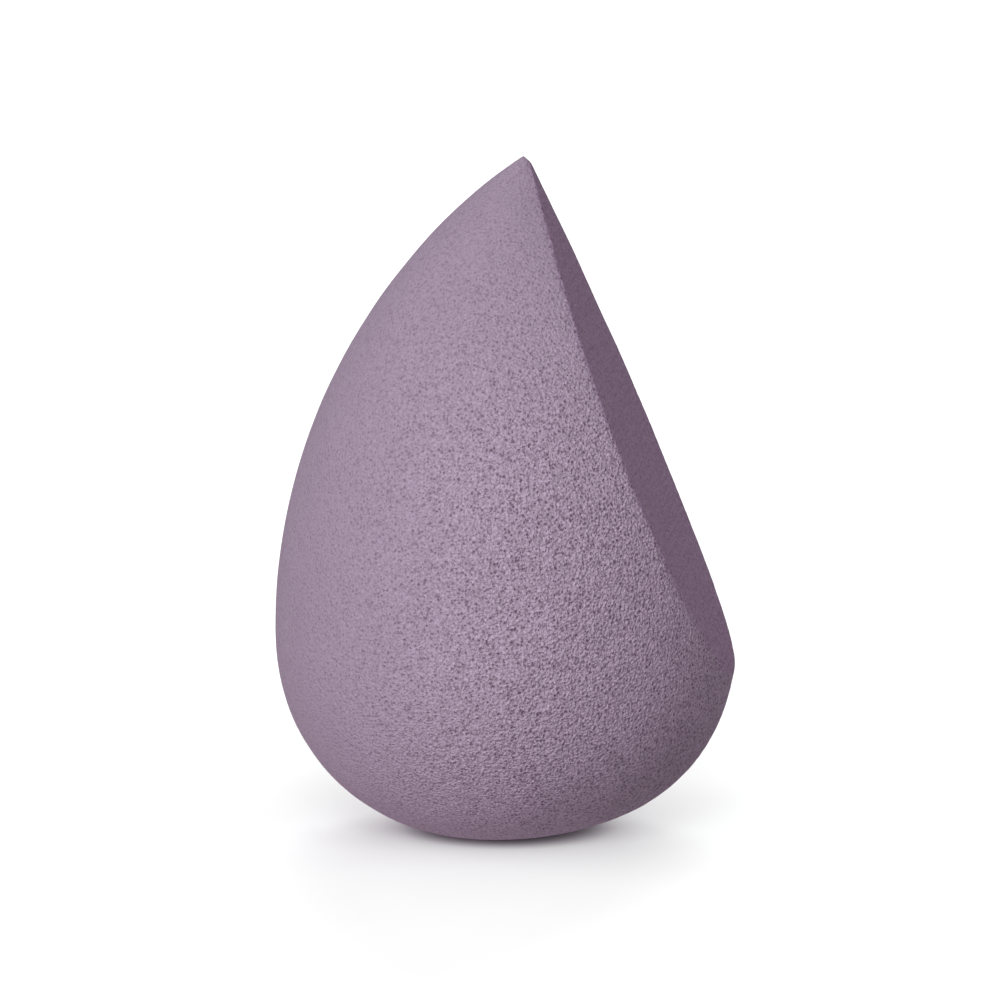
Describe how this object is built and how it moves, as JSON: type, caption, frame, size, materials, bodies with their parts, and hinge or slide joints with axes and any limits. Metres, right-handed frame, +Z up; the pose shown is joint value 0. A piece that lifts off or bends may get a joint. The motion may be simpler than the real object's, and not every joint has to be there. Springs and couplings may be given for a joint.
{
  "type": "makeup sponge",
  "caption": "Teardrop makeup sponge of soft mauve open-cell foam, pointed at the top, round at the bottom, with one side sliced flat at a slant.",
  "frame": {"origin": "on the small flat patch that the sponge stands on, straight below the centre of the widest part", "axes": "+Z up from the patch to the pointed tip; +X towards the slanted cut face; the XZ plane is the plane of symmetry"},
  "size_m": [0.0409, 0.0412, 0.06],
  "materials": {
    "foam": "matte open-cell polyurethane foam, mauve, with fine pits"
  },
  "bodies": {
    "root": {"foam_body": "foam"}
  },
  "joints": []
}
